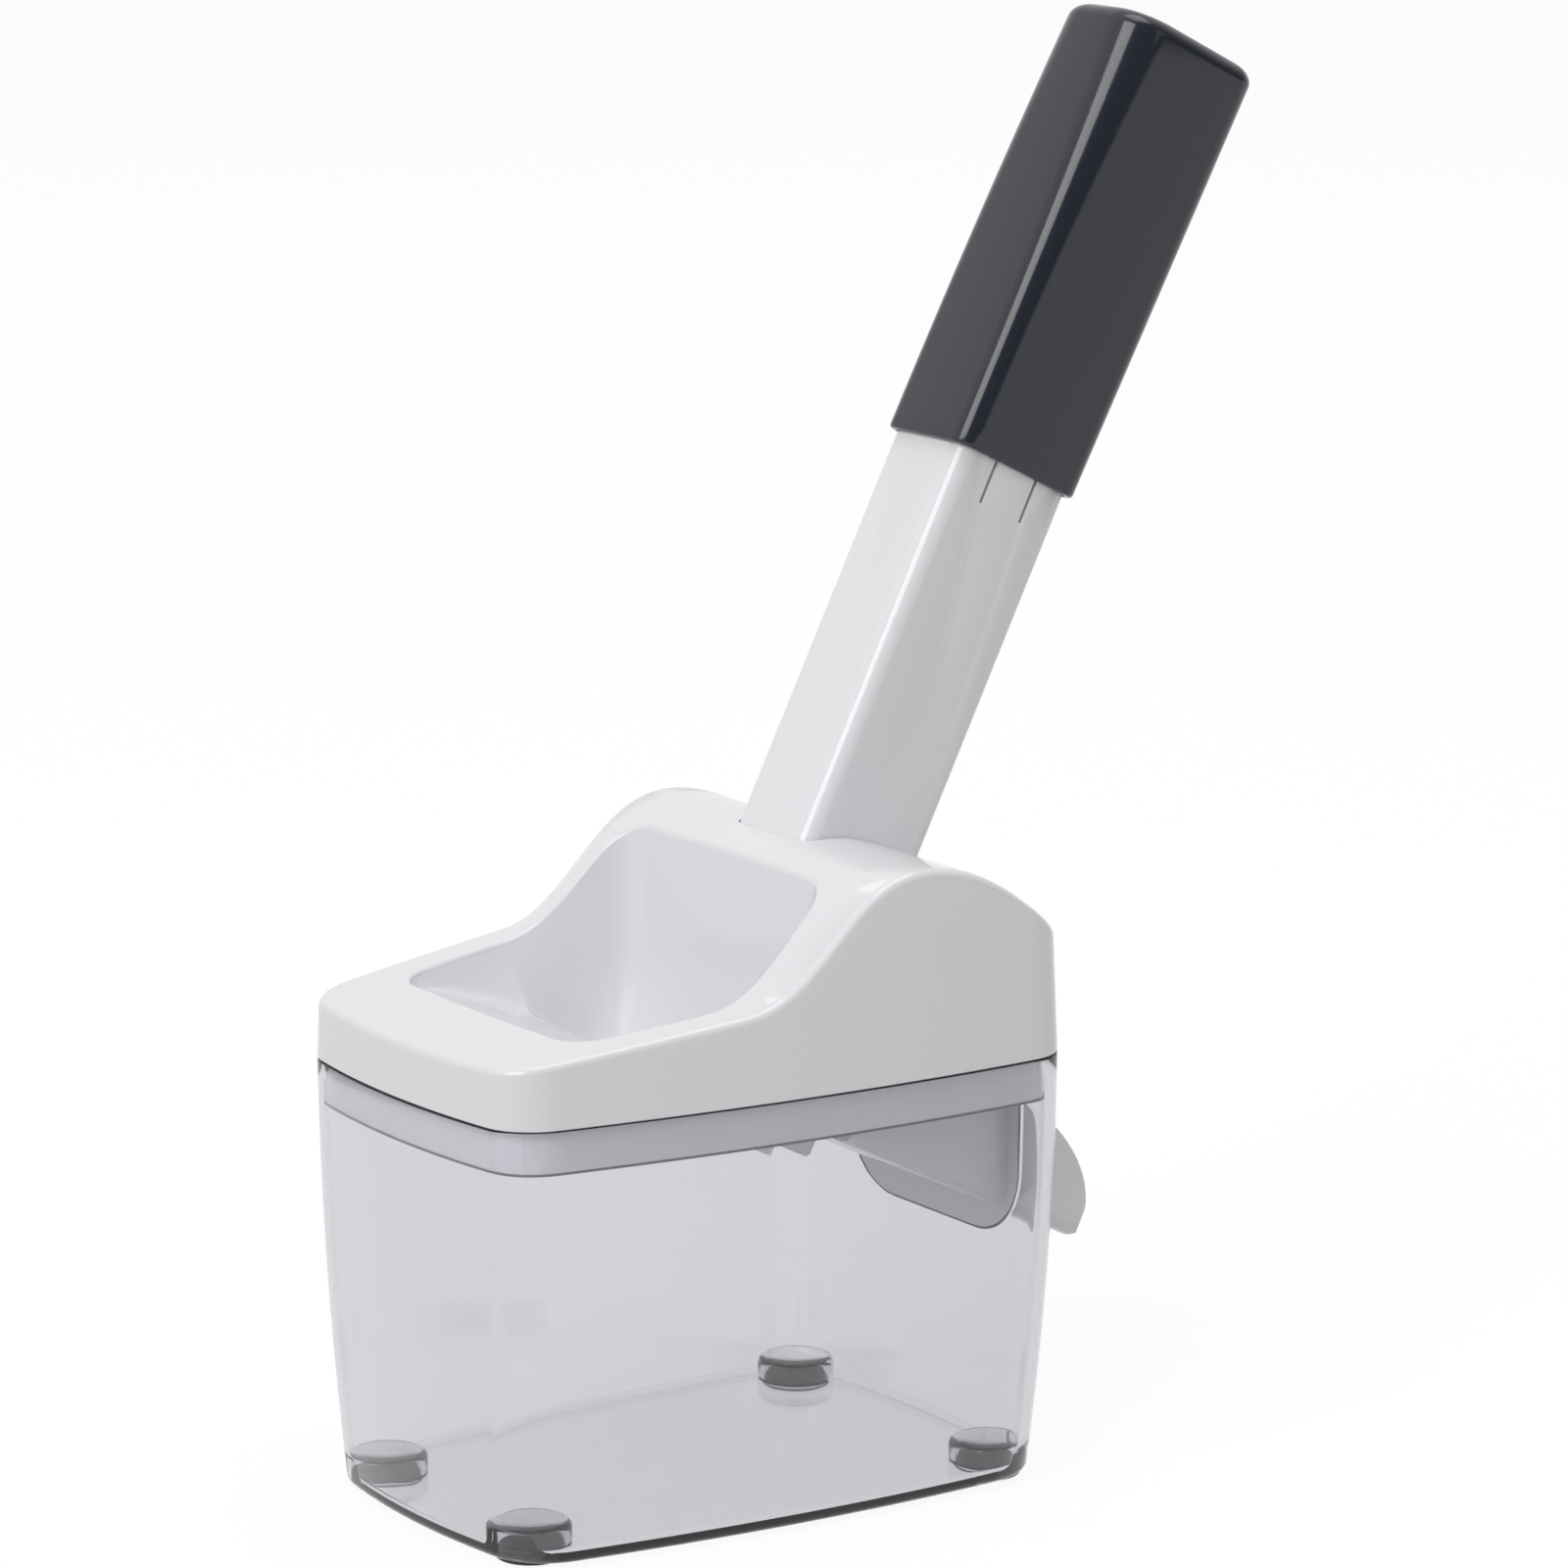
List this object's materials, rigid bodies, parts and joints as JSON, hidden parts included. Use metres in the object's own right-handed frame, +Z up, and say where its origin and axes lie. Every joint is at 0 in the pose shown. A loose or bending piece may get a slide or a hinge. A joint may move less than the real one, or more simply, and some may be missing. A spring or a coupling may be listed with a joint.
{
  "type": "plum pitter",
  "caption": "Table-top stone-fruit pitter: a clear stone box under a white hopper top with a chute, and a dark sprung push grip on an inclined white guide tube.",
  "frame": {"origin": "on the table, under the middle of the whole part's box", "axes": "+Z up, +X from the hopper to the chute, +Y to the far side in the picture"},
  "size_m": [0.1967, 0.0962, 0.2868],
  "materials": {
    "clear_plastic": "clear, polished",
    "white_plastic": "satin gloss",
    "anthracite_plastic": "satin gloss",
    "bush_plastic": "matte",
    "foot_rubber": "matte",
    "seat_rubber": "matte",
    "stainless": "brushed"
  },
  "bodies": {
    "stone_box": {"container": "clear_plastic", "foot_front_near": "foot_rubber", "foot_front_far": "foot_rubber", "foot_rear_near": "foot_rubber", "foot_rear_far": "foot_rubber"},
    "top_unit": {"top_cover": "white_plastic", "inner_frame": "white_plastic", "seat_ring": "seat_rubber", "seat_clamp": "white_plastic", "chute": "white_plastic", "guide_tube": "white_plastic", "tube_screws": "stainless", "stripper_plate": "white_plastic", "rod_bush": "bush_plastic"},
    "plunger": {"grip": "anthracite_plastic", "plunger_rod": "stainless", "pitting_head": "stainless", "head_pin": "stainless", "spring_cup": "stainless", "return_spring": "stainless"}
  },
  "joints": [
    {"name": "top_lift", "type": "slide", "parent": "stone_box", "child": "top_unit", "axis": [0, 0, 1], "range_m": [0, 0.06]},
    {"name": "plunger_push", "type": "slide", "parent": "top_unit", "child": "plunger", "axis": [-0.4524, 0, -0.8918], "range_m": [0, 0.054], "stiffness_N_per_m": 250, "springref_m": -0.03, "deforming": ["return_spring"]}
  ]
}
